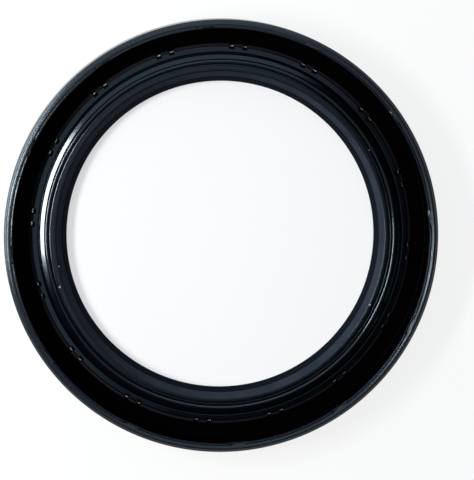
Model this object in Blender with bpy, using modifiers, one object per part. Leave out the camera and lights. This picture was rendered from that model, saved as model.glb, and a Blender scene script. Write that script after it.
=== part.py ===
"""Crankshaft oil seal, 95 x 130 x 12 mm: rubber moulded on a pressed steel case, with a garter spring.

It lies on its back face with the oil side up, centred on the origin. Lengths are in metres, +Z is up.
Every turned section below is a list of (radius, height) points that runs down the outer side, in along
the bottom, up the inner side and out along the top.
"""
from math import cos, pi, radians, sin

import bmesh
import bpy
from mathutils import Matrix, Vector

# The shaft, the housing and the room between them
SHAFT_DIAMETER = 0.095
RADIAL_SPACE = 0.0175
WIDTH = 0.012

# Clearance between neighbouring pieces
SEAT_GAP = 0.0003

# Pressed steel case
CASE_THICKNESS = 0.001
CASE_BEND_RADIUS = 0.0005
FLANGE_GRIP = 0.0005

# Rubber on the outside diameter, on the back and on the floor
COVER_THICKNESS = 0.0014
BACK_SKIN = 0.0004
LEDGE_SKIN = 0.0008
LEDGE_WIDTH = 0.003
LEDGE_FLAT = 0.0019
LEDGE_FALL = 0.0004
LEDGE_ROUND = 0.00015
FOOT_GROOVE = 0.0004
BACK_CHAMFER_RUN = 0.0007
BACK_CHAMFER_RISE = 0.0009

# Rim over the case's free edge
RIM_DEPTH = 0.0015
RIM_CHAMFER_RUN = 0.0006
RIM_CHAMFER_DROP = 0.001
RIM_LAND_DROP = 0.0004
RIM_LAND_WIDTH = 0.00065
RIDGE_WIDTH = 0.0005
BEAD_DROP = 0.0009
BEAD_ROUND = 0.0002

# Main sealing lip, from the sealing edge outwards
LIP_INTERFERENCE = 0.0012
EDGE_HEIGHT = 0.0024
FACET_RUN = 0.0013
FACET_RISE = 0.0019
TRIM_GROOVE = 0.00012
FRONT_RUN = 0.00156
FRONT_RISE = 0.0022
NOSE_RUN = 0.0021
NOSE_DROP = 0.0002
NOSE_CROWN_RUN = 0.0009
NOSE_CROWN_RISE = 0.00005
FLASH_LINE_INSET = 0.0004
FLASH_LINE_LIFT = 0.00016
FLASH_LINE_WIDTH = 0.0002
FLASH_LINE_HEIGHT = 0.00007
HEEL_RUN = 0.00055
HEEL_DROP = 0.0007

# Garter spring and its groove
COIL_DIAMETER = 0.0015
WIRE_DIAMETER = 0.0003
COIL_TURNS = 90
GROOVE_START_ANGLE = 140
GROOVE_END_ANGLE = 315
GROOVE_LIP = 0.00025

# Membrane that carries the lip, and the shoulder at its root
WAIST_INSET = 0.0001
WAIST_DROP = 0.0006
MEMBRANE_THICKNESS = 0.0015
MEMBRANE_ANGLE = 40
SHOULDER_OVERHANG = 0.0008
SHOULDER_RUN = 0.00135
SHOULDER_RISE = 0.0017
SHOULDER_FALL = 0.0005
SHOULDER_FLANK = 0.00025

# Dust lip on the back and the hollow between the two lips
DUST_LIP_CLEARANCE = 0.0001
DUST_LIP_THICKNESS = 0.0005
DUST_LIP_HEIGHT = 0.0005
HOLLOW_RADIUS = 0.0006
HOLLOW_INSET = 0.0015
HOLLOW_START_ANGLE = -85
HOLLOW_END_ANGLE = 115

# Marks that the mould's locating teeth leave
NOTCH_COUNT = 12
NOTCH_WIDTH = 0.0055
NOTCH_FIRST_ANGLE = 4.5
WINDOW_PAIRS = 16
WINDOW_WIDTH = 0.0016
WINDOW_DEPTH = 0.0017
WINDOW_SPACING = 0.004
WINDOW_FIRST_ANGLE = 17.0

# Fineness of the round forms
TURN_STEPS = 76
BEND_POINTS = 4
GROOVE_POINTS = 8
HOLLOW_POINTS = 3
STATIONS_PER_TURN = 3
COIL_SIDES = 6

# Radii and heights that follow from the values above
shaft_radius = SHAFT_DIAMETER / 2
housing_radius = shaft_radius + RADIAL_SPACE
case_outer = housing_radius - COVER_THICKNESS - SEAT_GAP
case_inner = case_outer - CASE_THICKNESS
case_bottom = BACK_SKIN + SEAT_GAP
case_floor = case_bottom + CASE_THICKNESS
rim_underside = WIDTH - RIM_DEPTH
case_top = rim_underside - SEAT_GAP
seat_top = case_floor + SEAT_GAP
ledge_top = seat_top + LEDGE_SKIN
edge_radius = shaft_radius - LIP_INTERFERENCE
front_top = Vector((edge_radius + FACET_RUN + 2 * TRIM_GROOVE + FRONT_RUN,
                    EDGE_HEIGHT + FACET_RISE + TRIM_GROOVE + FRONT_RISE))
nose_end = front_top + Vector((NOSE_RUN, -NOSE_DROP))
groove_radius = COIL_DIAMETER / 2 + SEAT_GAP
groove_start = radians(GROOVE_START_ANGLE)
groove_centre = nose_end - groove_radius * Vector((cos(groove_start), sin(groove_start)))
waist = groove_centre - Vector((WAIST_INSET, groove_radius + WAIST_DROP))
shoulder_top = Vector((waist.x + SHOULDER_OVERHANG, ledge_top - FOOT_GROOVE + SHOULDER_RISE))
shoulder_edge = shoulder_top + Vector((SHOULDER_RUN, -SHOULDER_FALL))
shoulder_foot = shoulder_edge.x + SHOULDER_FLANK
ledge_edge = shoulder_foot + LEDGE_WIDTH
flange_inner = shoulder_foot - FLANGE_GRIP


def arc(centre, radius, start, end, count):
    """Points on an arc round centre, from the start to the end angle in degrees, both ends included."""
    angles = [radians(start + (end - start) * k / (count - 1)) for k in range(count)]
    return [(centre[0] + radius * cos(a), centre[1] + radius * sin(a)) for a in angles]


def back_section():
    """The outside diameter, the chamfer at its foot and the flat back face, down to the dust lip's root."""
    return [
        (housing_radius, WIDTH - RIM_CHAMFER_DROP),
        (housing_radius, BACK_CHAMFER_RISE),
        (housing_radius - BACK_CHAMFER_RUN, 0.0),
        (flange_inner - SEAT_GAP, 0.0),
        (flange_inner - SEAT_GAP - DUST_LIP_HEIGHT, DUST_LIP_HEIGHT),
    ]


def dust_lip_section():
    """The thin lip at the back that keeps dust off the main lip, then the hollow between the two lips."""
    tip = shaft_radius + DUST_LIP_CLEARANCE
    root_top = DUST_LIP_HEIGHT + 2 * DUST_LIP_THICKNESS
    root = (flange_inner - HOLLOW_INSET - HOLLOW_RADIUS, root_top + HOLLOW_RADIUS)
    reach = MEMBRANE_THICKNESS + HOLLOW_RADIUS
    roof = (waist.x - reach * cos(radians(MEMBRANE_ANGLE)), waist.y - reach * sin(radians(MEMBRANE_ANGLE)))
    return [
        (tip + DUST_LIP_THICKNESS / 3, DUST_LIP_HEIGHT),
        (tip, DUST_LIP_HEIGHT + DUST_LIP_THICKNESS / 2),
        (tip + DUST_LIP_THICKNESS / 3, DUST_LIP_HEIGHT + DUST_LIP_THICKNESS),
        *arc(root, HOLLOW_RADIUS, HOLLOW_START_ANGLE, MEMBRANE_ANGLE, HOLLOW_POINTS),
        *arc(roof, HOLLOW_RADIUS, MEMBRANE_ANGLE, HOLLOW_END_ANGLE, HOLLOW_POINTS),
    ]


def lip_section():
    """The main lip: heel, sealing edge, trimmed facet, front face and the nose with its flash line."""
    heel = (edge_radius + HEEL_RUN, EDGE_HEIGHT - HEEL_DROP)
    facet_top = (edge_radius + FACET_RUN, EDGE_HEIGHT + FACET_RISE)
    flash_line = (nose_end.x - FLASH_LINE_INSET, nose_end.y + FLASH_LINE_LIFT)
    return [
        (heel[0] + HEEL_RUN, heel[1]),
        heel,
        (edge_radius, EDGE_HEIGHT),
        facet_top,
        (facet_top[0] + TRIM_GROOVE, facet_top[1] - TRIM_GROOVE),
        (facet_top[0] + 2 * TRIM_GROOVE, facet_top[1] + TRIM_GROOVE),
        (front_top.x, front_top.y),
        (front_top.x + NOSE_CROWN_RUN, front_top.y + NOSE_CROWN_RISE),
        (flash_line[0] - FLASH_LINE_WIDTH / 2, flash_line[1]),
        (flash_line[0], flash_line[1] + FLASH_LINE_HEIGHT),
        (flash_line[0] + FLASH_LINE_WIDTH / 2, flash_line[1] - FLASH_LINE_HEIGHT),
    ]


def groove_section():
    """The spring's groove, open outwards, the membrane's outer face below it and the shoulder at its root."""
    end = radians(GROOVE_END_ANGLE)
    lip = groove_centre + groove_radius * Vector((cos(end), sin(end)))
    return [
        *arc(groove_centre, groove_radius, GROOVE_START_ANGLE, GROOVE_END_ANGLE, GROOVE_POINTS),
        (lip.x, lip.y - GROOVE_LIP),
        (waist.x, waist.y),
        (shoulder_top.x, shoulder_top.y),
        (shoulder_edge.x, shoulder_edge.y),
        (shoulder_foot, ledge_top - FOOT_GROOVE),
    ]


def seat_section():
    """The ledge on the floor, then the slot that holds the case, open to the trough."""
    bend_centre = (case_inner - CASE_BEND_RADIUS, case_floor + CASE_BEND_RADIUS)
    bend = CASE_BEND_RADIUS + CASE_THICKNESS + SEAT_GAP
    return [
        (shoulder_foot + FOOT_GROOVE, ledge_top),
        (shoulder_foot + LEDGE_FLAT, ledge_top),
        (ledge_edge - LEDGE_ROUND, ledge_top - LEDGE_FALL),
        (ledge_edge, ledge_top - LEDGE_FALL - LEDGE_ROUND),
        (ledge_edge, seat_top),
        (flange_inner - SEAT_GAP, seat_top),
        (flange_inner - SEAT_GAP, BACK_SKIN),
        *arc(bend_centre, bend, 270, 360, BEND_POINTS),
        (case_outer + SEAT_GAP, rim_underside),
    ]


def rim_section():
    """The rim over the case's edge: inner bead, raised ridge, shallow groove and outer chamfer."""
    bead_top = WIDTH - BEAD_DROP
    chamfer_top = housing_radius - RIM_CHAMFER_RUN
    ridge_outer = chamfer_top - RIM_LAND_WIDTH
    ridge_inner = ridge_outer - RIDGE_WIDTH
    return [
        (case_inner, rim_underside),
        (case_inner, bead_top - BEAD_ROUND),
        (case_inner + BEAD_ROUND, bead_top),
        (ridge_inner - BEAD_ROUND, bead_top),
        (ridge_inner, WIDTH - BEAD_ROUND / 2),
        (ridge_inner + BEAD_ROUND / 2, WIDTH),
        (ridge_outer - BEAD_ROUND / 2, WIDTH),
        (ridge_outer + BEAD_ROUND / 4, WIDTH - RIM_LAND_DROP),
        (chamfer_top, WIDTH - RIM_LAND_DROP),
    ]


def case_section():
    """The pressed case: a wall, a bend of one sheet thickness and a flat flange."""
    bend_centre = (case_inner - CASE_BEND_RADIUS, case_floor + CASE_BEND_RADIUS)
    return [
        (case_outer, case_top),
        *arc(bend_centre, CASE_BEND_RADIUS + CASE_THICKNESS, 360, 270, BEND_POINTS),
        (flange_inner, case_bottom),
        (flange_inner, case_floor),
        *arc(bend_centre, CASE_BEND_RADIUS, 270, 360, BEND_POINTS),
        (case_inner, case_top),
    ]


def new_collection(name):
    """A collection of that name in the scene."""
    collection = bpy.data.collections.new(name)
    bpy.context.scene.collection.children.link(collection)
    return collection


def new_material(name, colour, roughness, metallic):
    """A Principled material."""
    material = bpy.data.materials.new(name)
    material.use_nodes = True
    shader = material.node_tree.nodes["Principled BSDF"]
    shader.inputs["Base Color"].default_value = (*colour, 1.0)
    shader.inputs["Roughness"].default_value = roughness
    shader.inputs["Metallic"].default_value = metallic
    return material


def new_object(name, form, collection, material=None):
    """An object made from a bmesh, shaded smooth between its sharp edges."""
    mesh = bpy.data.meshes.new(name)
    form.to_mesh(mesh)
    form.free()
    if material:
        mesh.materials.append(material)
    piece = bpy.data.objects.new(name, mesh)
    collection.objects.link(piece)
    return piece


def turned(name, section, collection, material):
    """A ring: a closed section turned once round Z by a Screw modifier."""
    form = bmesh.new()
    corners = [form.verts.new((radius, 0.0, height)) for radius, height in section]
    for first, second in zip(corners, corners[1:] + corners[:1]):
        form.edges.new((first, second))
    piece = new_object(name, form, collection, material)
    screw = piece.modifiers.new("turn", "SCREW")
    screw.axis = "Z"
    screw.angle = 2 * pi
    screw.steps = TURN_STEPS
    screw.render_steps = TURN_STEPS
    screw.use_merge_vertices = True
    screw.merge_threshold = 0.00001
    screw.use_smooth_shade = True
    return piece


def radial_block(form, angle, sideways, inner, outer, bottom, top, width):
    """Adds a block that lies along a radius at that angle in degrees, moved sideways by a distance."""
    size = Matrix.Diagonal(Vector((outer - inner, width, top - bottom, 1.0)))
    middle = Matrix.Translation(Vector(((inner + outer) / 2, sideways, (bottom + top) / 2)))
    turn = Matrix.Rotation(radians(angle), 4, "Z")
    bmesh.ops.create_cube(form, size=1.0, matrix=turn @ middle @ size)


def rim_notches(form):
    """Twelve notches through the rim's inner bead, down to the case's edge."""
    for k in range(NOTCH_COUNT):
        angle = NOTCH_FIRST_ANGLE + k * 360 / NOTCH_COUNT
        radial_block(form, angle, 0.0, case_inner - CASE_THICKNESS, case_outer - SEAT_GAP / 2,
                     case_top + SEAT_GAP / 2, WIDTH - BEAD_DROP + BEAD_ROUND, NOTCH_WIDTH)


def ledge_windows(form):
    """Sixteen pairs of windows in the ledge's outer edge, down to the case's floor."""
    for k in range(WINDOW_PAIRS):
        angle = WINDOW_FIRST_ANGLE + k * 360 / WINDOW_PAIRS
        for side in (-0.5, 0.5):
            radial_block(form, angle, side * WINDOW_SPACING, ledge_edge - WINDOW_DEPTH, ledge_edge + SEAT_GAP,
                         case_floor + SEAT_GAP / 2, ledge_top + SEAT_GAP, WINDOW_WIDTH)


def cut(piece, name, draw, cutters):
    """Cuts all the blocks that draw adds out of the piece."""
    form = bmesh.new()
    draw(form)
    cutter = new_object(name, form, cutters)
    cutter.hide_render = True
    cutter.display_type = "WIRE"
    boolean = piece.modifiers.new(name, "BOOLEAN")
    boolean.operation = "DIFFERENCE"
    boolean.solver = "EXACT"
    boolean.object = cutter


def wound_ring(name, collection, material):
    """The garter spring: a ring whose surface follows its closely wound wire, one shallow thread a turn."""
    form = bmesh.new()
    stations = COIL_TURNS * STATIONS_PER_TURN
    rings = []
    for station in range(stations):
        around = 2 * pi * station / stations
        ring = []
        for side in range(COIL_SIDES):
            across = -2 * pi * side / COIL_SIDES
            valley = 0.5 - 0.5 * cos(COIL_TURNS * around - across)
            reach = COIL_DIAMETER / 2 - WIRE_DIAMETER / 2 * valley
            radius = groove_centre.x + reach * cos(across)
            height = groove_centre.y + reach * sin(across)
            ring.append(form.verts.new((radius * cos(around), radius * sin(around), height)))
        rings.append(ring)
    for ring, following in zip(rings, rings[1:] + rings[:1]):
        for k in range(COIL_SIDES):
            n = (k + 1) % COIL_SIDES
            form.faces.new((ring[k], ring[n], following[n], following[k]))
    bmesh.ops.recalc_face_normals(form, faces=form.faces)
    return new_object(name, form, collection, material)


def build():
    """Makes the three pieces of the seal."""
    for old in list(bpy.data.objects):
        bpy.data.objects.remove(old, do_unlink=True)
    seal = new_collection("crankshaft_oil_seal")
    cutters = new_collection("cutters")
    rubber = new_material("black_nitrile_rubber", (0.006, 0.0075, 0.011), 0.3, 0.0)
    coated_steel = new_material("black_bonding_coat", (0.002, 0.002, 0.003), 0.4, 0.0)
    spring_steel = new_material("oiled_spring_steel", (0.12, 0.125, 0.135), 0.3, 1.0)
    body_section = [
        *back_section(), *dust_lip_section(), *lip_section(),
        *groove_section(), *seat_section(), *rim_section()]
    body = turned("moulded_rubber_body", body_section, seal, rubber)
    cut(body, "notch_cutters", rim_notches, cutters)
    cut(body, "window_cutters", ledge_windows, cutters)
    turned("pressed_steel_case", case_section(), seal, coated_steel)
    wound_ring("garter_spring", seal, spring_steel)


build()
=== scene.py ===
# %% [markdown]
# A crankshaft oil seal, dressed for a photograph.
#
# The seal is a ring of black rubber moulded on a pressed steel case. A lip in its middle runs on the shaft,
# and a garter spring, which is a long coil of fine wire bent into a ring, squeezes that lip on the shaft.
# The solids of the three pieces already exist, with plain facets. This lesson gives them round forms, fine
# wire, moulded marks and finishes, and then lights them. Lengths are in metres, +Z is up, and the seal lies
# on its back face.

from math import cos, pi, radians, sin

import bmesh
import bpy
from mathutils import Matrix, Vector


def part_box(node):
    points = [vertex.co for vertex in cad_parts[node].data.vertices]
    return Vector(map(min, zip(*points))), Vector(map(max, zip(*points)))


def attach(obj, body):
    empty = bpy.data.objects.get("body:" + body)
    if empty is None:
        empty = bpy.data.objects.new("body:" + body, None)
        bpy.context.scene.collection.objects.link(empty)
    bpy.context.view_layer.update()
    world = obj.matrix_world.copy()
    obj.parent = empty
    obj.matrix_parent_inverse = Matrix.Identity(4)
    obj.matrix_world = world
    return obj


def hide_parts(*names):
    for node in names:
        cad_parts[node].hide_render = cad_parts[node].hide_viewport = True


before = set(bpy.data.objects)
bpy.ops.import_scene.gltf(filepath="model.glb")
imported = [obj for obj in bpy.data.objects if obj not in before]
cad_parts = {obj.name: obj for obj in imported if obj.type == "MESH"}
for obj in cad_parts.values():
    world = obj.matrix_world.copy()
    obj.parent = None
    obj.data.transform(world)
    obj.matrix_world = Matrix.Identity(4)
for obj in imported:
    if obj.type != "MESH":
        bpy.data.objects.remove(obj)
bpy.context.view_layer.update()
MM = 0.001
BODY = "moulded_rubber_body"
CASE = "pressed_steel_case"
SPRING = "garter_spring"
print("nodes:", ", ".join(sorted(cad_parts)))

# %% [markdown]
# The rubber and the case are turned: their form is one section, carried once round the axis. So the finer
# pieces don't need a drawing of their own. The section is read off the CAD solid itself, as the edges that
# lie in the plane y = 0 on the +X side, and walked round as a closed outline. Where the CAD changes, the
# dressed piece follows.

# %% Reading a section
PLANE_TOLERANCE = 0.002 * MM


def section_of(name):
    """The closed outline of a turned node as (radius, height) vectors, counter-clockwise."""
    form = bmesh.new()
    form.from_mesh(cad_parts[name].data)
    bmesh.ops.remove_doubles(form, verts=form.verts, dist=PLANE_TOLERANCE)
    neighbours = {}
    for edge in form.edges:
        if all(abs(v.co.y) < PLANE_TOLERANCE and v.co.x > 0 for v in edge.verts):
            first, second = edge.verts
            neighbours.setdefault(first, []).append(second)
            neighbours.setdefault(second, []).append(first)
    outline = [max(neighbours, key=lambda v: v.co.x)]
    before = None
    while True:
        here = outline[-1]
        step = next(v for v in neighbours[here] if v is not before)
        if step is outline[0]:
            break
        before = here
        outline.append(step)
    points = [Vector((v.co.x, v.co.z)) for v in outline]
    form.free()
    area = sum(a.x * b.y - b.x * a.y for a, b in zip(points, points[1:] + points[:1]))
    return points if area > 0 else points[::-1]


body_section = section_of(BODY)
case_section = section_of(CASE)
edge_radius = min(p.x for p in body_section)
print(f"the body's section has {len(body_section)} corners, the case's {len(case_section)}")
print(f"the sealing edge is at radius {edge_radius / MM:.2f} mm")

# %% [markdown]
# Rubber flows into every corner of a mould and comes out with its edges a little round, and that rounding
# is what catches the light as a fine line. So each corner of a section becomes a short curve. A slight bend
# between two short chords, as in an arc, is rounded over its whole length, and any other corner only by a
# set reach. The sealing edge is trimmed with a knife, so it stays sharp. Long straight runs get a support
# point at each end, which keeps the smooth shading of the corner from spreading over the flat.

# %% Rounding a section
CORNER_REACH = 0.14 * MM
RIM_REACH = 0.26 * MM
RIM_RADIUS = 63.6 * MM
RIM_HEIGHT = 10.7 * MM
KNIFE_REACH = 0.02 * MM
STEEL_REACH = 0.05 * MM
GENTLE_TURN = radians(38)
LONG_RUN = 1.1 * MM
SUPPORT = 0.10 * MM
MOST_OF_A_RUN = 0.47
CURVE_POINTS = (0.0, 0.33, 0.67, 1.0)


def rounded(points, reach_at):
    """The outline with each corner drawn as a small curve and each long run given two support points."""
    smooth = []
    for before, here, after in zip(points[-1:] + points[:-1], points, points[1:] + points[:1]):
        back, on = before - here, after - here
        reach = reach_at(here)
        if max(back.length, on.length) < LONG_RUN and (-back).angle(on) < GENTLE_TURN:
            reach = max(back.length, on.length)
        start = here + back.normalized() * min(reach, MOST_OF_A_RUN * back.length)
        end = here + on.normalized() * min(reach, MOST_OF_A_RUN * on.length)
        for t in CURVE_POINTS:
            smooth.append(start.lerp(here, t).lerp(here.lerp(end, t), t))
    supported = []
    for here, after in zip(smooth, smooth[1:] + smooth[:1]):
        run = after - here
        supported.append(here)
        if run.length > LONG_RUN:
            supported.append(here + run.normalized() * SUPPORT)
            supported.append(after - run.normalized() * SUPPORT)
    return supported


def rubber_reach(point):
    """How far a corner of the rubber is rounded: most on the rim's outside, hardly at the knife's edge."""
    if point.x < edge_radius + PLANE_TOLERANCE:
        return KNIFE_REACH
    return RIM_REACH if point.y > RIM_HEIGHT and point.x > RIM_RADIUS else CORNER_REACH


steel_outline = rounded(case_section, lambda point: STEEL_REACH)
print(f"the steel's outline is rounded to {len(steel_outline)} points")

# %% [markdown]
# On the real seal the rubber is bonded to the steel all over. The CAD keeps a gap of 0.3 mm there, as two
# solids that touch need one. Each point of the rubber's section that faces the steel across that gap is
# moved up to it. The bead on the rim's inside is drawn out a little, almost level with the ridge behind it,
# where light reaches it.

# %% Closing the seat
SEAT_REACH = 0.45 * MM
BOND = 0.02 * MM
BEAD_RISE = 0.5 * MM
BEAD_WIDTH = 0.8 * MM

steel_top = max(p.y for p in case_section)
steel_inner = min(p.x for p in case_section if steel_top - p.y < PLANE_TOLERANCE)


def seated(points, steel):
    """The rubber's outline with its points near the steel moved to within a bond's thickness of it."""
    closed = []
    for point in points:
        nearest = None
        for a, b in zip(steel, steel[1:] + steel[:1]):
            along = max(0.0, min(1.0, (point - a).dot(b - a) / (b - a).length_squared))
            foot = a + (b - a) * along
            if nearest is None or (point - foot).length < (point - nearest).length:
                nearest = foot
        away = point - nearest
        if BOND < away.length < SEAT_REACH:
            point = nearest + away.normalized() * BOND
        closed.append(point)
    return closed


def with_full_bead(points):
    """The rubber's outline with the top of the bead over the steel's edge raised."""
    lift = Vector((0.0, BEAD_RISE))
    bead_outer = steel_inner + BEAD_WIDTH
    return [p + lift if p.y > steel_top and steel_inner < p.x < bead_outer else p for p in points]


rubber_outline = rounded(with_full_bead(seated(body_section, case_section)), rubber_reach)
print(f"the rubber's outline is rounded to {len(rubber_outline)} points")

# %% [markdown]
# A mould holds the steel case on pins and teeth while the rubber flows in, and they leave marks: sixteen
# pairs of windows in the ledge on the trough's floor, and twelve notches through the rim's inner bead.
# Their angles and sizes are given once here, because the cutters and the bare spots on the steel both need
# them.

# %% Sizes of the marks
NOTCH_COUNT = 12
NOTCH_WIDTH = 5.5 * MM
NOTCH_FIRST_ANGLE = 4.5
WINDOW_PAIRS = 16
WINDOW_WIDTH = 1.6 * MM
WINDOW_DEPTH = 1.7 * MM
WINDOW_APART = 4.0
WINDOW_FIRST_ANGLE = 17.0
LEDGE_CEILING = 3 * MM
TROUGH_AT_LEAST = 2 * MM
BEAD_TO_RIDGE = 0.75 * MM

steel_floor = min(p.y for p in case_section) + (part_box(CASE)[1].x - steel_inner)
ledge_edge = max(p.x for p in body_section
                 if steel_floor < p.y < LEDGE_CEILING and p.x < steel_inner - TROUGH_AT_LEAST)
ridge_foot = steel_inner + BEAD_TO_RIDGE
print(f"the trough runs from {ledge_edge / MM:.2f} to {steel_inner / MM:.2f} mm")
print(f"its floor is at {steel_floor / MM:.2f} mm")

# %% [markdown]
# The trees below are all written in the same shorthand: `node` adds one node and feeds its inputs, and
# `calc` is one Math node. Both work in geometry trees and in shader trees. `keep_result` runs a tree on an
# object and keeps what comes out as a plain mesh, so that nothing live is left on the finished piece.

# %% Shorthand for node trees
def node(tree, kind, inputs=(), **settings):
    """Adds a node. An input that is a socket is linked, and anything else is set as the input's value."""
    new = tree.nodes.new(kind)
    for name, value in settings.items():
        setattr(new, name, value)
    for key, value in dict(inputs).items():
        if isinstance(value, bpy.types.NodeSocket):
            tree.links.new(value, new.inputs[key])
        else:
            new.inputs[key].default_value = value
    return new


def calc(tree, operation, first, second=0.0, third=0.0):
    """One Math node. Gives its output socket."""
    inputs = {0: first, 1: second, 2: third}
    return node(tree, "ShaderNodeMath", inputs, operation=operation).outputs[0]


def new_tree(name, kind, inputs, outputs):
    """A node tree with named sockets, each given as (name, type, value), and its input and output nodes."""
    tree = bpy.data.node_groups.new(name, kind)
    for way, sockets in (("INPUT", inputs), ("OUTPUT", outputs)):
        for label, form, value in sockets:
            socket = tree.interface.new_socket(label, in_out=way, socket_type="NodeSocket" + form)
            if value is not None:
                socket.default_value = value
    return tree, tree.nodes.new("NodeGroupInput"), tree.nodes.new("NodeGroupOutput")


def keep_result(piece, tree, **values):
    """Runs a geometry tree on the piece with those input values and keeps the result as its mesh."""
    modifier = piece.modifiers.new(tree.name, "NODES")
    modifier.node_group = tree
    for socket in tree.interface.items_tree:
        label = socket.name.lower().replace(" ", "_")
        if socket.in_out == "INPUT" and label in values:
            modifier[socket.identifier] = values[label]
    graph = bpy.context.evaluated_depsgraph_get()
    mesh = bpy.data.meshes.new_from_object(piece.evaluated_get(graph))
    piece.modifiers.remove(modifier)
    piece.data = mesh
    mesh.name = piece.name
    print(f"{piece.name}: {sum(len(p.vertices) - 2 for p in mesh.polygons):,} triangles")
    return piece


def new_piece(name, points=(), links=()):
    """An object of loose points and edges at the origin, which a geometry tree then works on."""
    mesh = bpy.data.meshes.new(name)
    mesh.from_pydata(points, links, [])
    piece = bpy.data.objects.new(name, mesh)
    bpy.context.scene.collection.objects.link(piece)
    return piece


print("shorthand:", ", ".join(f.__name__ for f in (node, calc, new_tree, keep_result, new_piece)))

# %% [markdown]
# The effects that the finishes share are shader groups. The grain group gives a fine uneven skin. The polar
# group gives a point's place round the axis, and the turning group gives rings round the axis, as a mould
# that was cut on a lathe prints them into the rubber.

# %% Grain and turned rings
RING_DRIFT = 0.8 * MM


def grain_group():
    """Fine uneven skin: a height for the bump and a slow blotch between 0 and 1."""
    tree, start, end = new_tree(
        "moulded_grain", "ShaderNodeTree",
        [("Vector", "Vector", None), ("Scale", "Float", 2500.0), ("Blotch Scale", "Float", 120.0)],
        [("Height", "Float", None), ("Blotch", "Float", None)])
    fine = node(tree, "ShaderNodeTexNoise", {
        "Vector": start.outputs["Vector"], "Scale": start.outputs["Scale"], "Detail": 3.0, "Roughness": 0.55})
    slow = node(tree, "ShaderNodeTexNoise", {
        "Vector": start.outputs["Vector"], "Scale": start.outputs["Blotch Scale"], "Detail": 4.0})
    blotch = node(tree, "ShaderNodeMapRange", {
        "Value": slow.outputs["Fac"], "From Min": 0.35, "From Max": 0.65})
    tree.links.new(fine.outputs["Fac"], end.inputs["Height"])
    tree.links.new(blotch.outputs["Result"], end.inputs["Blotch"])
    return tree


def polar_group():
    """The radius, the angle and the height of a point, seen from the axis."""
    tree, start, end = new_tree(
        "polar_place", "ShaderNodeTree", [("Vector", "Vector", None)],
        [("Radius", "Float", None), ("Angle", "Float", None), ("Height", "Float", None)])
    split = node(tree, "ShaderNodeSeparateXYZ", {"Vector": start.outputs["Vector"]})
    x, y = split.outputs["X"], split.outputs["Y"]
    squares = calc(tree, "ADD", calc(tree, "MULTIPLY", x, x), calc(tree, "MULTIPLY", y, y))
    tree.links.new(calc(tree, "SQRT", squares), end.inputs["Radius"])
    tree.links.new(calc(tree, "ARCTAN2", y, x), end.inputs["Angle"])
    tree.links.new(split.outputs["Z"], end.inputs["Height"])
    return tree


GRAIN = grain_group()
POLAR = polar_group()


def turning_group():
    """Rings round the axis: a height that depends on radius and height, a little uneven round the ring."""
    tree, start, end = new_tree(
        "turning_rings", "ShaderNodeTree",
        [("Vector", "Vector", None), ("Rings per Metre", "Float", 4000.0)], [("Height", "Float", None)])
    polar = node(tree, "ShaderNodeGroup", {"Vector": start.outputs["Vector"]}, node_tree=POLAR)
    along = calc(tree, "ADD", polar.outputs["Radius"], polar.outputs["Height"])
    drift = calc(tree, "MULTIPLY", calc(tree, "SINE", polar.outputs["Angle"]), RING_DRIFT)
    place = node(tree, "ShaderNodeCombineXYZ", {"X": along, "Y": drift})
    rings = node(tree, "ShaderNodeTexNoise", {
        "Vector": place.outputs["Vector"], "Detail": 2.0, "Scale": start.outputs["Rings per Metre"]})
    tree.links.new(rings.outputs["Fac"], end.inputs["Height"])
    return tree


TURNING = turning_group()
print("shader groups:", GRAIN.name, POLAR.name, TURNING.name)

# %% [markdown]
# Two more groups are masks. The marks group is 1 on what stands at even angles round the ring, such as the
# feet of a mould's pins, and the dust group is 1 on a few small grains. A mask is only a number, so each
# finish decides what it changes: a colour, the roughness, or how much a place is metal.

# %% Marks and dust
def marks_group():
    """A mask, 1 on marks in pairs at even angles, between two radii, and 0 elsewhere."""
    tree, start, end = new_tree(
        "marks_round_the_ring", "ShaderNodeTree",
        [("Vector", "Vector", None), ("Pairs", "Float", 16.0), ("First Angle", "Float", 0.0),
         ("Apart", "Float", 0.0), ("Half Width", "Float", 0.001), ("Inner", "Float", 0.0),
         ("Outer", "Float", 1.0)],
        [("Mask", "Float", None)])
    polar = node(tree, "ShaderNodeGroup", {"Vector": start.outputs["Vector"]}, node_tree=POLAR)
    across = polar.outputs["Radius"]
    sector = calc(tree, "DIVIDE", 2 * pi, start.outputs["Pairs"])
    half_sector = calc(tree, "MULTIPLY", sector, 0.5)
    half_apart = calc(tree, "MULTIPLY", start.outputs["Apart"], 0.5)
    angle = calc(tree, "SUBTRACT", polar.outputs["Angle"], start.outputs["First Angle"])
    wrapped = calc(tree, "WRAP", calc(tree, "ADD", angle, half_sector), sector, 0.0)
    turned = calc(tree, "SUBTRACT", wrapped, half_sector)
    from_mark = calc(tree, "SUBTRACT", calc(tree, "ABSOLUTE", turned), half_apart)
    sideways = calc(tree, "MULTIPLY", calc(tree, "ABSOLUTE", from_mark), across)
    beside = calc(tree, "LESS_THAN", sideways, start.outputs["Half Width"])
    above = calc(tree, "GREATER_THAN", across, start.outputs["Inner"])
    below = calc(tree, "LESS_THAN", across, start.outputs["Outer"])
    mask = calc(tree, "MULTIPLY", beside, calc(tree, "MULTIPLY", above, below))
    tree.links.new(mask, end.inputs["Mask"])
    return tree


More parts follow.
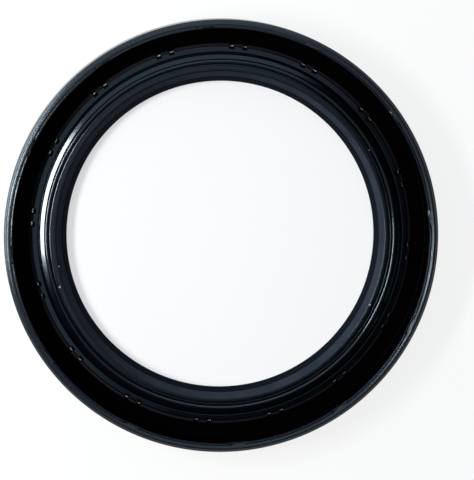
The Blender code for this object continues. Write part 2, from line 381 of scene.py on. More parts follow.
def dust_group():
    """A mask for grains of dust: few, small and strewn at random."""
    tree, start, end = new_tree(
        "dust_grains", "ShaderNodeTree",
        [("Vector", "Vector", None), ("Scale", "Float", 150.0), ("Size", "Float", 0.05),
         ("Share", "Float", 0.05)],
        [("Mask", "Float", None)])
    cells = node(tree, "ShaderNodeTexVoronoi", {
        "Vector": start.outputs["Vector"], "Scale": start.outputs["Scale"]})
    near = calc(tree, "LESS_THAN", cells.outputs["Distance"], start.outputs["Size"])
    draw = node(tree, "ShaderNodeSeparateColor", {"Color": cells.outputs["Color"]}).outputs[0]
    chosen = calc(tree, "LESS_THAN", draw, start.outputs["Share"])
    tree.links.new(calc(tree, "MULTIPLY", near, chosen), end.inputs["Mask"])
    return tree


MARKS = marks_group()
DUST = dust_group()
print("masks:", MARKS.name, DUST.name)

# %% [markdown]
# Every finish is a Principled shader with what varies fed into it: colour, roughness and bump. What is the
# same all over is set on the shader's own sockets, since an exported model loses some of them when they are
# linked.

# %% Shorthand for finishes
def new_finish(name, **constants):
    """A material with its tree, shader and object coordinates. Constants go to the shader's sockets."""
    material = bpy.data.materials.new(name)
    material.use_nodes = True
    tree = material.node_tree
    shader = tree.nodes["Principled BSDF"]
    for label, value in constants.items():
        shader.inputs[label.replace("_", " ")].default_value = value
    place = node(tree, "ShaderNodeTexCoord").outputs["Object"]
    return material, tree, shader, place


def shared(tree, effect, place, values=()):
    """One of the shader groups, placed in a material's tree with its own values."""
    return node(tree, "ShaderNodeGroup", {"Vector": place, **dict(values)}, node_tree=effect)


def bumped(tree, shader, *layers):
    """Feeds the shader's normal from bumps, each given as (height socket, strength, distance)."""
    normal = None
    for height, strength, distance in layers:
        bump = node(tree, "ShaderNodeBump", {"Strength": strength, "Distance": distance, "Height": height})
        if normal:
            tree.links.new(normal, bump.inputs["Normal"])
        normal = bump.outputs["Normal"]
    tree.links.new(normal, shader.inputs["Normal"])


def blend_colours(tree, factor, first, second):
    """Mixes two colours by a factor socket."""
    mix = node(tree, "ShaderNodeMix", {0: factor}, data_type="RGBA")
    for socket, value in ((mix.inputs[6], first), (mix.inputs[7], second)):
        if isinstance(value, bpy.types.NodeSocket):
            tree.links.new(value, socket)
        else:
            socket.default_value = (*value, 1.0)
    return mix.outputs[2]


def blend_values(tree, factor, first, second):
    """Mixes two numbers by a factor socket."""
    return calc(tree, "MULTIPLY_ADD", factor, second - first, first)


helpers = (new_finish, shared, bumped, blend_colours, blend_values)
print("shorthand:", ", ".join(f.__name__ for f in helpers))

# %% [markdown]
# Nitrile rubber is a cold, blue-black grey with a slight film of oil. Its gloss carries a cool tint, which
# is a painted cool cast that stands in for cool light in its reflections. As moulded it is glossy, a little
# less so on the lip's nose. The rim is drier and paler, and the mould has printed fine rings, pits and a
# few broad waves into it. The outer part of the ledge has a faint brown stain. Each place could be painted
# as a mask of its own. But they are all rings about the axis, so comparing the radius with a few values is
# enough, and most of those values follow the CAD.

# %% Moulded rubber
# The tint below is a painted cool cast on the gloss, standing in for cool light in its reflections.
PAINTED_COOL_TINT = (0.76, 0.90, 1.0, 1.0)
DUST_GRAINS = {"Scale": 160.0, "Size": 0.045, "Share": 0.4}
DUST_GREY = (0.30, 0.30, 0.31)
WET_BLACK = (0.0004, 0.0008, 0.0020)
WET_BLUE = (0.0008, 0.0014, 0.0030)
DRY_GREY = (0.0040, 0.0056, 0.0088)
STAIN_BROWN = (0.0150, 0.0110, 0.0135)
GLOSSY = (0.12, 0.17)
NOSE_DULLER = 0.09
RIM_DULLER = 0.06
NOSE_RADIUS = edge_radius + 5.3 * MM
STAIN_RADIUS = ledge_edge - 0.8 * MM
RIM_WAVE = 1.35 * MM
RIM_WAVE_START = 62.225 * MM
SKIN_GRAIN = 0.2
RINGS_ELSEWHERE = 0.05
RINGS_ON_RIM = 0.6
PITS_ON_RIM = 0.5
WAVES_ON_RIM = 0.9
SKIN_DEPTH = 0.03 * MM
RIM_DEPTH = 0.1 * MM


def moulded_rubber_finish():
    """Blue-black nitrile rubber: glossy, satin on the lip's nose, with rings turned into the rim."""
    # Its gloss gets the painted cool tint.
    material, tree, shader, place = new_finish(
        "nitrile_rubber", Specular_IOR_Level=0.45, Specular_Tint=PAINTED_COOL_TINT)
    grain = shared(tree, GRAIN, place, {"Scale": 3200.0, "Blotch Scale": 160.0})
    rings = shared(tree, TURNING, place, {"Rings per Metre": 2400.0})
    pits = shared(tree, GRAIN, place, {"Scale": 1300.0, "Blotch Scale": 600.0})
    dust = shared(tree, DUST, place, DUST_GRAINS).outputs["Mask"]
    radius = shared(tree, POLAR, place).outputs["Radius"]
    nose = calc(tree, "LESS_THAN", radius, NOSE_RADIUS)
    rim = calc(tree, "GREATER_THAN", radius, steel_inner)
    stain = calc(tree, "MULTIPLY", calc(tree, "GREATER_THAN", radius, STAIN_RADIUS),
                 calc(tree, "LESS_THAN", radius, steel_inner))
    phase = calc(tree, "MULTIPLY", calc(tree, "SUBTRACT", radius, RIM_WAVE_START), 2 * pi / RIM_WAVE)
    wet = blend_colours(tree, grain.outputs["Blotch"], WET_BLACK, WET_BLUE)
    skin = blend_colours(tree, rim, wet, DRY_GREY)
    stained = blend_colours(tree, stain, skin, STAIN_BROWN)
    tree.links.new(blend_colours(tree, dust, stained, DUST_GREY), shader.inputs["Base Color"])
    smooth = blend_values(tree, grain.outputs["Blotch"], *GLOSSY)
    satin = calc(tree, "MULTIPLY_ADD", nose, NOSE_DULLER, smooth)
    tree.links.new(calc(tree, "MULTIPLY_ADD", rim, RIM_DULLER, satin), shader.inputs["Roughness"])
    bumped(tree, shader, (grain.outputs["Height"], SKIN_GRAIN, SKIN_DEPTH),
           (rings.outputs["Height"], blend_values(tree, rim, RINGS_ELSEWHERE, RINGS_ON_RIM), RIM_DEPTH),
           (pits.outputs["Height"], calc(tree, "MULTIPLY", rim, PITS_ON_RIM), RIM_DEPTH),
           (calc(tree, "SINE", phase), calc(tree, "MULTIPLY", rim, WAVES_ON_RIM), RIM_DEPTH))
    return material


RUBBER = moulded_rubber_finish()
print("finish:", RUBBER.name)

# %% [markdown]
# The lip's front is the same rubber, but rubbed dull and grey. The knife's cut at the sealing edge is
# painted darker still, as painted shade on that cut. It reflects so much less that it needs another
# specular level. That is one number for a whole material, so the front gets a material of its own.

# %% Worn rubber
CUT_RADIUS = edge_radius + 1.45 * MM
WORN_DARK = (0.0145, 0.0190, 0.0275)
WORN_PALE = (0.0230, 0.0280, 0.0365)
# Painted shade: the knife's cut is painted darker than the rest of the front.
PAINTED_SHADE_ON_CUT = (0.0035, 0.0050, 0.0085)
# A painted cool cast on the worn front's gloss, standing in for cool light in its reflections.
PAINTED_COOL_TINT_WORN = (0.55, 0.80, 1.0, 1.0)
WORN_ROUGHNESS = (0.45, 0.58)
WORN_DEPTH = 0.04 * MM


def worn_rubber_finish():
    """The rubber on the lip's front: dulled and greyed, with painted shade on the knife's cut at its edge."""
    # Its gloss gets the painted cool tint.
    material, tree, shader, place = new_finish(
        "worn_rubber", Specular_IOR_Level=0.02, Specular_Tint=PAINTED_COOL_TINT_WORN)
    grain = shared(tree, GRAIN, place, {"Scale": 2600.0, "Blotch Scale": 140.0})
    dust = shared(tree, DUST, place, DUST_GRAINS).outputs["Mask"]
    cut = calc(tree, "LESS_THAN", shared(tree, POLAR, place).outputs["Radius"], CUT_RADIUS)
    front = blend_colours(tree, grain.outputs["Blotch"], WORN_DARK, WORN_PALE)
    # The cut band gets the painted shade.
    skin = blend_colours(tree, cut, front, PAINTED_SHADE_ON_CUT)
    tree.links.new(blend_colours(tree, dust, skin, DUST_GREY), shader.inputs["Base Color"])
    tree.links.new(blend_values(tree, grain.outputs["Blotch"], *WORN_ROUGHNESS), shader.inputs["Roughness"])
    bumped(tree, shader, (grain.outputs["Height"], 0.4, WORN_DEPTH))
    return material


WORN_RUBBER = worn_rubber_finish()
print("finish:", WORN_RUBBER.name)

# %% [markdown]
# The steel case wears the black bonding coat that makes rubber stick to it, which is smooth. Its colour
# is painted darker than any coat, as painted shade deep in the trough. In the windows, where the mould's
# pins stood, that coat is missing and the bare sheet glints, broken up by the scratches of the pins. Flakes
# of bright metal could be laid in the windows, but a mask in the coat needs no faces of its own and lies
# perfectly flat.

# %% Steel under its black coat
PIN_INNER = ledge_edge - 0.52 * WINDOW_DEPTH
PIN_OUTER = ledge_edge - 0.32 * WINDOW_DEPTH
PIN_HALF_WIDTH = 0.36 * WINDOW_WIDTH
BARE_STEEL = (0.55, 0.53, 0.51)
# The coat's colours are painted darker than a real coat, as the shade deep in the trough.
COAT_AND_PAINTED_SHADE_DARK = (0.0002, 0.0002, 0.0004)
COAT_AND_PAINTED_SHADE_PALE = (0.0005, 0.0005, 0.0009)
COAT_ROUGHNESS = 0.4
BARE_ROUGHNESS = 0.18
COAT_DEPTH = 0.1 * MM


def coated_steel_finish():
    """Black coat, painted darker as the trough's shade, and bare sheet at the feet of the mould's pins."""
    material, tree, shader, place = new_finish("black_bonding_coat", Specular_IOR_Level=0.01)
    grain = shared(tree, GRAIN, place, {"Scale": 900.0, "Blotch Scale": 90.0})
    scratches = shared(tree, GRAIN, place, {"Scale": 5200.0, "Blotch Scale": 2600.0})
    marks = shared(tree, MARKS, place, {
        "Pairs": float(WINDOW_PAIRS), "First Angle": radians(WINDOW_FIRST_ANGLE),
        "Apart": radians(WINDOW_APART), "Half Width": PIN_HALF_WIDTH, "Inner": PIN_INNER,
        "Outer": PIN_OUTER})
    bare = calc(tree, "MULTIPLY", marks.outputs["Mask"], scratches.outputs["Blotch"])
    # Black coat with the painted trough shade in its colour.
    coat = blend_colours(tree, grain.outputs["Blotch"], COAT_AND_PAINTED_SHADE_DARK, COAT_AND_PAINTED_SHADE_PALE)
    tree.links.new(blend_colours(tree, bare, coat, BARE_STEEL), shader.inputs["Base Color"])
    tree.links.new(bare, shader.inputs["Metallic"])
    tree.links.new(blend_values(tree, bare, COAT_ROUGHNESS, BARE_ROUGHNESS), shader.inputs["Roughness"])
    bumped(tree, shader, (grain.outputs["Height"], 0.5, COAT_DEPTH))
    return material


COATED_STEEL = coated_steel_finish()
print("finish:", COATED_STEEL.name)

# %% [markdown]
# The spring's fine drawn wire is darkened by oil, and more oil fills the gaps between its turns. The oil is
# almost black and very smooth, so it shows only by what it mirrors. A shader that lets light through would
# be closer to real oil, but in such dark gaps nothing could be seen through it, so an opaque gloss does.

# %% Spring wire and oil
WIRE_DARK = (0.030, 0.035, 0.044)
WIRE_PALE = (0.048, 0.056, 0.068)
WIRE_ROUGHNESS = (0.22, 0.30)
OIL_DARK = (0.0020, 0.0024, 0.0032)
OIL_PALE = (0.0040, 0.0044, 0.0056)
SMEAR_DEPTH = 0.02 * MM


def spring_finish():
    """Fine drawn wire, darkened by oil."""
    material, tree, shader, place = new_finish("oiled_spring_wire", Metallic=1.0)
    grain = shared(tree, GRAIN, place, {"Scale": 4000.0, "Blotch Scale": 300.0})
    colour = blend_colours(tree, grain.outputs["Blotch"], WIRE_DARK, WIRE_PALE)
    tree.links.new(colour, shader.inputs["Base Color"])
    tree.links.new(blend_values(tree, grain.outputs["Blotch"], *WIRE_ROUGHNESS), shader.inputs["Roughness"])
    bumped(tree, shader, (grain.outputs["Height"], 0.15, SMEAR_DEPTH))
    return material


def oil_finish():
    """The dark oil that fills the gaps between the turns: almost black, and very smooth."""
    # The oil's gloss gets the same painted cool tint, standing in for cool light.
    material, tree, shader, place = new_finish(
        "dark_oil", Specular_IOR_Level=0.6, Specular_Tint=PAINTED_COOL_TINT, Roughness=0.12)
    grain = shared(tree, GRAIN, place, {"Scale": 500.0, "Blotch Scale": 120.0})
    film = blend_colours(tree, grain.outputs["Blotch"], OIL_DARK, OIL_PALE)
    tree.links.new(film, shader.inputs["Base Color"])
    bumped(tree, shader, (grain.outputs["Height"], 0.1, SMEAR_DEPTH))
    return material


SPRING_WIRE = spring_finish()
OIL = oil_finish()
print("finishes:", SPRING_WIRE.name, OIL.name)

# %% [markdown]
# The rings are swept by Geometry Nodes. The path is a circle. The section is a closed line of edges with the
# path's radius taken off, so that it can serve as the profile of Curve to Mesh. A Screw modifier would turn
# the same ring. The tree was chosen because it also paints what it makes, and one tree makes the rubber and
# the steel.

# %% Sweeping a section round the axis
PATH_RADIUS = 55 * MM
RING_STEPS = 360


def turned_ring_tree():
    """Sweeps the closed outline it is given round a circle about Z."""
    tree, start, end = new_tree(
        "turned_ring", "GeometryNodeTree",
        [("Outline", "Geometry", None), ("Path Radius", "Float", 0.05), ("Steps", "Int", 360),
         ("Material", "Material", None)],
        [("Ring", "Geometry", None)])
    path = node(tree, "GeometryNodeCurvePrimitiveCircle",
                {"Resolution": start.outputs["Steps"], "Radius": start.outputs["Path Radius"]})
    profile = node(tree, "GeometryNodeMeshToCurve", {"Mesh": start.outputs["Outline"]})
    sweep = node(tree, "GeometryNodeCurveToMesh",
                 {"Curve": path.outputs["Curve"], "Profile Curve": profile.outputs["Curve"]})
    smooth = node(tree, "GeometryNodeSetShadeSmooth", {"Geometry": sweep.outputs["Mesh"]})
    solid = node(tree, "GeometryNodeRealizeInstances", {"Geometry": smooth.outputs["Geometry"]})
    painted = node(tree, "GeometryNodeSetMaterial",
                   {"Geometry": solid.outputs["Geometry"], "Material": start.outputs["Material"]})
    tree.links.new(painted.outputs["Geometry"], end.inputs["Ring"])
    return tree


TURNED_RING = turned_ring_tree()


def turned_ring(name, outline, material):
    """A finished ring from an outline of (radius, height) points."""
    points = [(p.x - PATH_RADIUS, -p.y, 0.0) for p in outline]
    count = len(points)
    ring = new_piece(name, points, [(k, (k + 1) % count) for k in range(count)])
    return keep_result(ring, TURNED_RING, path_radius=PATH_RADIUS, steps=RING_STEPS, material=material)


rubber_body = turned_ring("rubber_body", rubber_outline, RUBBER)
steel_case = turned_ring("steel_case", steel_outline, COATED_STEEL)

# %% [markdown]
# The marks are cut with blocks. The circle is divided into even sectors, and each sector has one block or a
# few side by side. A block's number gives both: how many whole sectors it has passed, and which one of its
# sector it is. It stands with one side along the radius, and one Mesh Boolean takes all the blocks out of
# the ring.

# %% Cutting what repeats
def pin_marks_tree():
    """Cuts blocks at even angles out of the ring it is given."""
    tree, start, end = new_tree(
        "pin_marks", "GeometryNodeTree",
        [("Ring", "Geometry", None), ("Sectors", "Int", 12), ("Blocks per Sector", "Int", 1),
         ("First Angle", "Float", 0.0), ("Block Angle", "Float", 0.0), ("Radius", "Float", 0.06),
         ("Height", "Float", 0.0), ("Block Size", "Vector", (0.001, 0.001, 0.001)),
         ("Material", "Material", None)],
        [("Ring", "Geometry", None)])
    side_by_side = start.outputs["Blocks per Sector"]
    index = node(tree, "GeometryNodeInputIndex").outputs["Index"]
    sector = calc(tree, "FLOOR", calc(tree, "DIVIDE", index, side_by_side))
    in_sector = calc(tree, "SUBTRACT", calc(tree, "MODULO", index, side_by_side),
                     calc(tree, "MULTIPLY", calc(tree, "SUBTRACT", side_by_side, 1.0), 0.5))
    turn = calc(tree, "MULTIPLY", calc(tree, "DIVIDE", 2 * pi, start.outputs["Sectors"]), sector)
    angle = calc(tree, "ADD", calc(tree, "ADD", turn, start.outputs["First Angle"]),
                 calc(tree, "MULTIPLY", in_sector, start.outputs["Block Angle"]))
    place = node(tree, "ShaderNodeCombineXYZ", {
        "X": calc(tree, "MULTIPLY", calc(tree, "COSINE", angle), start.outputs["Radius"]),
        "Y": calc(tree, "MULTIPLY", calc(tree, "SINE", angle), start.outputs["Radius"]),
        "Z": start.outputs["Height"]})
    points = node(tree, "GeometryNodePoints",
                  {"Count": calc(tree, "MULTIPLY", start.outputs["Sectors"], side_by_side),
                   "Position": place.outputs["Vector"]})
    block = node(tree, "GeometryNodeMeshCube", {"Size": start.outputs["Block Size"]})
    facing = node(tree, "ShaderNodeCombineXYZ", {"Z": angle})
    blocks = node(tree, "GeometryNodeInstanceOnPoints", {
        "Points": points.outputs[0], "Instance": block.outputs["Mesh"], "Rotation": facing.outputs["Vector"]})
    cutters = node(tree, "GeometryNodeRealizeInstances", {"Geometry": blocks.outputs["Instances"]})
    cut = node(tree, "GeometryNodeMeshBoolean",
               {"Mesh 1": start.outputs["Ring"], "Mesh 2": cutters.outputs["Geometry"]},
               operation="DIFFERENCE", solver="MANIFOLD")
    solid = node(tree, "GeometryNodeRealizeInstances", {"Geometry": cut.outputs["Mesh"]})
    painted = node(tree, "GeometryNodeSetMaterial",
                   {"Geometry": solid.outputs["Geometry"], "Material": start.outputs["Material"]})
    tree.links.new(painted.outputs["Geometry"], end.inputs["Ring"])
    return tree


PIN_MARKS = pin_marks_tree()
print("cutting tree:", PIN_MARKS.name)

# %% [markdown]
# One tree serves for both kinds of mark. The notches go through the bead, down to the steel's edge, and end
# at the foot of the ridge behind it. The windows go through the ledge's outer edge, down to the steel
# floor.

# %% Notches and windows
CUT_CLEARANCE = 1.0 * MM
NOTCH_INNER = steel_inner - CUT_CLEARANCE
NOTCH_FLOOR = steel_top + 0.05 * MM
NOTCH_TOP = 11.9 * MM
WINDOW_INNER = ledge_edge - WINDOW_DEPTH
WINDOW_OUTER = ledge_edge + 0.3 * MM
WINDOW_FLOOR = steel_floor + 0.005 * MM
WINDOW_TOP = 3.1 * MM

keep_result(rubber_body, PIN_MARKS, sectors=NOTCH_COUNT, first_angle=radians(NOTCH_FIRST_ANGLE),
            radius=(NOTCH_INNER + ridge_foot) / 2, height=(NOTCH_FLOOR + NOTCH_TOP) / 2,
            block_size=(ridge_foot - NOTCH_INNER, NOTCH_WIDTH, NOTCH_TOP - NOTCH_FLOOR), material=RUBBER)
keep_result(rubber_body, PIN_MARKS, sectors=WINDOW_PAIRS, blocks_per_sector=2,
            first_angle=radians(WINDOW_FIRST_ANGLE), block_angle=radians(WINDOW_APART),
            radius=(WINDOW_INNER + WINDOW_OUTER) / 2, height=(WINDOW_FLOOR + WINDOW_TOP) / 2,
            block_size=(WINDOW_OUTER - WINDOW_INNER, WINDOW_WIDTH, WINDOW_TOP - WINDOW_FLOOR),
            material=RUBBER)

# %% [markdown]
# A cut leaves corners that must stay crisp while the round forms stay smooth. A bevel could do that, but on
# cuts of a millimetre it costs many faces. So the edges where two faces meet at a clear angle are marked
# sharp, and the rest is shaded smooth.

# %% Smooth faces, sharp corners
SHARP_ANGLE = radians(48)
for piece in (rubber_body, steel_case):
    piece.data.shade_smooth()
    piece.data.set_sharp_from_angle(angle=SHARP_ANGLE)
print("sharp edges on the rubber:", sum(1 for e in rubber_body.data.edges if e.use_edge_sharp))

# %% [markdown]
# The lip's front has another skin than the rest of the moulding: it is trimmed and rubbed, so it shines
# much less. Its faces are the ones inside the corner where the front ends, and they get the duller of the
# two rubbers.

# %% The lip's dull front
FRONT_RADIUS = edge_radius + 3.05 * MM
rubber_body.data.materials.append(WORN_RUBBER)
for face in rubber_body.data.polygons:
    if face.center.xy.length < FRONT_RADIUS:
        face.material_index = 1
print("dull faces:", sum(1 for face in rubber_body.data.polygons if face.material_index == 1))

# %% [markdown]
# The garter spring is wire of 0.3 mm wound closely to a coil 1.5 mm thick, and the coil is bent round into
# a ring. Its wire is one closed curve: while it goes once round the ring it goes hundreds of times round
# the coil. A straight coil could also be wound with Screw and bent with a Curve modifier, but then its two
# ends have to meet. Here both angles follow from the index of a point along the curve, so the tree only has
# to set each point's place. Oil lies between the turns almost up to their crests, so in the photograph the
# spring shows as one smooth line. The oil is a plain ring inside the wire, a few microns thinner than the
# coil.

# %% Winding the spring
OIL_STEPS = 360
OIL_SIDES = 28


def wound_wire_tree():
    """A wire wound closely round a ring, as a closed tube, with the oil between its turns."""
    tree, start, end = new_tree(
        "wound_wire", "GeometryNodeTree",
        [("Seed Mesh", "Geometry", None), ("Turns", "Int", 900), ("Points per Turn", "Int", 8),
         ("Ring Radius", "Float", 0.05), ("Ring Height", "Float", 0.0), ("Coil Radius", "Float", 0.0006),
         ("Wire Radius", "Float", 0.00015), ("Wire Sides", "Int", 6), ("Material", "Material", None),
         ("Oil Radius", "Float", 0.0007), ("Oil", "Material", None)],
        [("Spring", "Geometry", None)])
    count = calc(tree, "MULTIPLY", start.outputs["Turns"], start.outputs["Points per Turn"])
    index = node(tree, "GeometryNodeInputIndex").outputs["Index"]
    around = calc(tree, "MULTIPLY", calc(tree, "DIVIDE", index, count), 2 * pi)
    across = calc(tree, "MULTIPLY", around, start.outputs["Turns"])
    reach = calc(tree, "ADD", start.outputs["Ring Radius"],
                 calc(tree, "MULTIPLY", start.outputs["Coil Radius"], calc(tree, "COSINE", across)))
    place = node(tree, "ShaderNodeCombineXYZ", {
        "X": calc(tree, "MULTIPLY", reach, calc(tree, "COSINE", around)),
        "Y": calc(tree, "MULTIPLY", reach, calc(tree, "SINE", around)),
        "Z": calc(tree, "ADD", start.outputs["Ring Height"],
                  calc(tree, "MULTIPLY", start.outputs["Coil Radius"], calc(tree, "SINE", across)))})
    circle = node(tree, "GeometryNodeCurvePrimitiveCircle", {"Resolution": count, "Radius": 1.0})
    helix = node(tree, "GeometryNodeSetPosition",
                 {"Geometry": circle.outputs["Curve"], "Position": place.outputs["Vector"]})
    bore = node(tree, "GeometryNodeCurvePrimitiveCircle",
                {"Resolution": start.outputs["Wire Sides"], "Radius": start.outputs["Wire Radius"]})
    tube = node(tree, "GeometryNodeCurveToMesh",
                {"Curve": helix.outputs["Geometry"], "Profile Curve": bore.outputs["Curve"]})
    middle = node(tree, "GeometryNodeCurvePrimitiveCircle",
                  {"Resolution": OIL_STEPS, "Radius": start.outputs["Ring Radius"]})
    lift = node(tree, "ShaderNodeCombineXYZ", {"Z": start.outputs["Ring Height"]})
    lifted = node(tree, "GeometryNodeTransform",
                  {"Geometry": middle.outputs["Curve"], "Translation": lift.outputs["Vector"]})
    film = node(tree, "GeometryNodeCurvePrimitiveCircle",
                {"Resolution": OIL_SIDES, "Radius": start.outputs["Oil Radius"]})
    ring = node(tree, "GeometryNodeCurveToMesh",
                {"Curve": lifted.outputs["Geometry"], "Profile Curve": film.outputs["Curve"]})
    parts = []
    for mesh, material in ((tube, "Material"), (ring, "Oil")):
        smooth = node(tree, "GeometryNodeSetShadeSmooth", {"Geometry": mesh.outputs["Mesh"]})
        solid = node(tree, "GeometryNodeRealizeInstances", {"Geometry": smooth.outputs["Geometry"]})
        parts.append(node(tree, "GeometryNodeSetMaterial",
                          {"Geometry": solid.outputs["Geometry"], "Material": start.outputs[material]}))
    joined = node(tree, "GeometryNodeJoinGeometry")
    for part in parts:
        tree.links.new(part.outputs["Geometry"], joined.inputs["Geometry"])
    tree.links.new(joined.outputs["Geometry"], end.inputs["Spring"])
    return tree


WOUND_WIRE = wound_wire_tree()
print("winding tree:", WOUND_WIRE.name)

# %% [markdown]
# The ring's radius and height come from the CAD spring, and the wire and the coil have the sizes that it
# was drawn with. 900 turns lie 0.37 mm apart, so there is a little room between them for the oil.

# %% The garter spring
WIRE_DIAMETER = 0.3 * MM
WIRE_SIDES = 6
COIL_DIAMETER = 1.5 * MM
COIL_TURNS = 900
POINTS_PER_TURN = 8
OIL_BELOW_CREST = 0.006 * MM

spring_low, spring_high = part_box(SPRING)
ring_radius = spring_high.x - COIL_DIAMETER / 2
garter_coil = keep_result(
    new_piece("garter_coil"), WOUND_WIRE, turns=COIL_TURNS, points_per_turn=POINTS_PER_TURN,
    ring_radius=ring_radius, ring_height=(spring_low.z + spring_high.z) / 2,
    coil_radius=(COIL_DIAMETER - WIRE_DIAMETER) / 2, wire_radius=WIRE_DIAMETER / 2,
    wire_sides=WIRE_SIDES, material=SPRING_WIRE,
    oil_radius=COIL_DIAMETER / 2 - OIL_BELOW_CREST, oil=OIL)
pitch = 2 * pi * ring_radius / COIL_TURNS
print(f"pitch {pitch / MM:.2f} mm on a ring of radius {ring_radius / MM:.2f} mm")

# %% [markdown]
# The pieces stand in for the CAD nodes of the same form. A seal has no moving parts, so all three are on one
# body, the root.

# %% Handing the pieces over
for piece, cad_node, slot in ((rubber_body, BODY, "rubber"), (steel_case, CASE, "coated_steel"),
                              (garter_coil, SPRING, "spring_steel")):
    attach(piece, "root")
    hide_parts(cad_node)
print("dressed:", rubber_body.name, steel_case.name, garter_coil.name)

# %% [markdown]
# The floor is one white sheet, flat under the seal and curving up far away, as paper hangs in a studio. A
# plane would do for the view from above, but from the side its edge would show. To the camera, and in
# reflections, part of its white is a glow of its own, and what the lamps leave dark on it still shows as a
# shadow. The glow is weaker inside the bore, where the photograph's shadow is stronger.

# %% Floor
FLOOR_PROFILE = [(0.0, 0.0), (1.6, 0.0), (1.85, 0.03), (2.05, 0.12), (2.18, 0.3), (2.25, 0.6), (2.25, 1.1)]
FLOOR_DROP = 0.02 * MM
FLOOR_STEPS = 96
FLOOR_WELD = 0.01 * MM
PAPER_WHITE = (0.82, 0.82, 0.82, 1.0)
GLOW_WHITE = (1.0, 1.0, 1.0, 1.0)
GLOW_IN_BORE = 0.60
GLOW_OUTSIDE = 0.85
GLOW_FROM = 50 * MM
GLOW_TO = 64 * MM


def paper_material():
    """White paper that glows a little towards the camera and in reflections."""
    material = bpy.data.materials.new("white_paper")
    material.use_nodes = True
    tree = material.node_tree
    output = tree.nodes["Material Output"]
    tree.nodes.remove(tree.nodes["Principled BSDF"])
    paper = node(tree, "ShaderNodeBsdfDiffuse", {"Color": PAPER_WHITE})
    glow = node(tree, "ShaderNodeEmission", {"Color": GLOW_WHITE, "Strength": 1.0})
    light = node(tree, "ShaderNodeLightPath")
    mirrored = calc(tree, "MAXIMUM", light.outputs["Is Glossy Ray"], light.outputs["Is Transmission Ray"])
    seen = calc(tree, "MAXIMUM", light.outputs["Is Camera Ray"], mirrored)
    place = node(tree, "ShaderNodeTexCoord").outputs["Object"]
    across = node(tree, "ShaderNodeVectorMath", {0: place}, operation="LENGTH").outputs["Value"]
    glow_share = node(tree, "ShaderNodeMapRange", {
        "Value": across, "From Min": GLOW_FROM, "From Max": GLOW_TO,
        "To Min": GLOW_IN_BORE, "To Max": GLOW_OUTSIDE})
    share = calc(tree, "MULTIPLY", seen, glow_share.outputs["Result"])
    both = node(tree, "ShaderNodeMixShader", {0: share, 1: paper.outputs[0], 2: glow.outputs[0]})
    tree.links.new(both.outputs[0], output.inputs["Surface"])
    return material


def studio_floor():
    """A round white sheet whose edge turns up."""
    form = bmesh.new()
    line = [form.verts.new((x, 0.0, z - FLOOR_DROP)) for x, z in FLOOR_PROFILE]
    for first, second in zip(line, line[1:]):
        form.edges.new((first, second))
    bmesh.ops.spin(form, geom=form.verts[:] + form.edges[:], angle=2 * pi, steps=FLOOR_STEPS,
                   axis=(0, 0, 1), cent=(0, 0, 0))
    bmesh.ops.remove_doubles(form, verts=form.verts, dist=FLOOR_WELD)
    bmesh.ops.recalc_face_normals(form, faces=form.faces)
    mesh = bpy.data.meshes.new("studio_floor")
    form.to_mesh(mesh)
    form.free()
    mesh.shade_smooth()
    mesh.materials.append(paper_material())
    sheet = bpy.data.objects.new("studio_floor", mesh)
    bpy.context.scene.collection.objects.link(sheet)
    return sheet


floor = studio_floor()
print(f"floor: {floor.name}, {FLOOR_PROFILE[-1][0]} m in radius")

# %% [markdown]
# The light is soft and comes mostly from the left of the picture, high enough to reach over the rim. A low
# window on the same side lights the rim's chamfer, which faces outward. Two broad, weak lamps hang overhead
# and stand above the top of the picture. Nothing shines from the bottom, where the photographer stands. All
# are area lamps, because gloss mirrors a lamp's own shape: the white band on the shoulder is an image of
# one.

# %% Lamps
COOL = (0.72, 0.87, 1.0)
DAYLIGHT = (0.90, 0.96, 1.0)


def soft_box(name, azimuth, elevation, distance, width, height, radiance, colour=(1.0, 1.0, 1.0)):
    """An area lamp that looks at the seal. Azimuth is counter-clockwise from +X, in degrees."""
    lamp = bpy.data.lights.new(name, "AREA")
    lamp.shape = "RECTANGLE"
    lamp.size = width
    lamp.size_y = height
    lamp.energy = radiance * pi * width * height
    lamp.color = colour
    stand = bpy.data.objects.new(name, lamp)
    a, e = radians(azimuth), radians(elevation)
    stand.location = distance * Vector((cos(e) * cos(a), cos(e) * sin(a), sin(e)))
    stand.rotation_euler = (-stand.location).to_track_quat("-Z", "Y").to_euler()
    bpy.context.scene.collection.objects.link(stand)
    print(f"{name}: {lamp.energy:.1f} W")


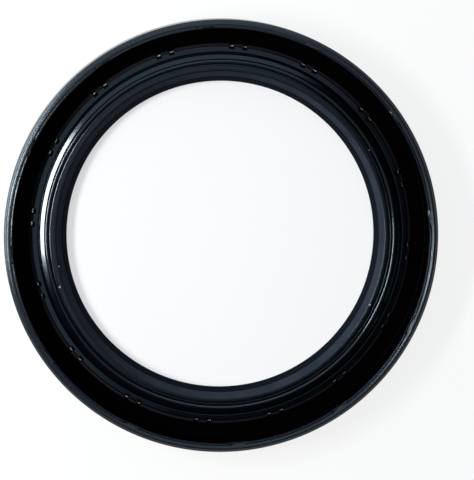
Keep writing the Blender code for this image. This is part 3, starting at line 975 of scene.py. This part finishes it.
soft_box("window_light", azimuth=172.7, elevation=45.7, distance=0.437,
         width=0.244, height=0.046, radiance=60.0)
soft_box("ceiling", azimuth=142, elevation=80.4, distance=0.78,
         width=0.7, height=0.45, radiance=0.8, colour=COOL)
soft_box("top_light", azimuth=105, elevation=40, distance=1.2,
         width=1.9, height=0.9, radiance=1.2, colour=COOL)
soft_box("side_window", azimuth=166, elevation=9, distance=0.9,
         width=0.9, height=0.2, radiance=11.0, colour=DAYLIGHT)

# %% [markdown]
# What the lamps don't reach gets a trace of light from all around, as in a room. Black rubber shows little
# of it, but without it the deepest places would be dead black.

# %% World
WORLD_COLOUR = (0.9, 0.95, 1.0, 1.0)
WORLD_STRENGTH = 0.02

world = bpy.data.worlds.new("studio")
bpy.context.scene.world = world
world.use_nodes = True
world.node_tree.nodes["Background"].inputs["Color"].default_value = WORLD_COLOUR
world.node_tree.nodes["Background"].inputs["Strength"].default_value = WORLD_STRENGTH
print("world:", world.name, "at", WORLD_STRENGTH)

# %% [markdown]
# The camera looks almost straight down, leaning a little towards the upper left of the picture. Its place
# comes from how far each ring of the seal is shifted against the others in the photograph: the bore's edge
# lies low, the spring higher and the rim highest, and their centres fall in a line that points along the
# camera's lean.

# %% Camera
AIM = Vector((4.80, -1.36, 6.0)) * MM
CAMERA_AZIMUTH = 118.7
CAMERA_LEAN = 6.94
CAMERA_DISTANCE = 0.9
PIXELS_PER_METRE = 3328
FRAME_HEIGHT = 480
SENSOR = 36.0
CLIP_START = 0.01

lens = bpy.data.cameras.new("camera")
lens.lens = PIXELS_PER_METRE * CAMERA_DISTANCE / FRAME_HEIGHT * SENSOR
lens.sensor_width = SENSOR
lens.clip_start = CLIP_START
camera = bpy.data.objects.new("camera", lens)
bpy.context.scene.collection.objects.link(camera)
lean, heading = radians(CAMERA_LEAN), radians(CAMERA_AZIMUTH)
away = Vector((sin(lean) * cos(heading), sin(lean) * sin(heading), cos(lean)))
right = (-away).cross(Vector((0.0, 1.0, 0.0))).normalized()
turn = Matrix((right, right.cross(-away), away)).transposed().to_4x4()
camera.matrix_world = Matrix.Translation(AIM + CAMERA_DISTANCE * away) @ turn
bpy.context.scene.camera = camera
bpy.context.scene.view_settings.view_transform = "Standard"
print(f"lens {lens.lens:.1f} mm at {CAMERA_DISTANCE} m")
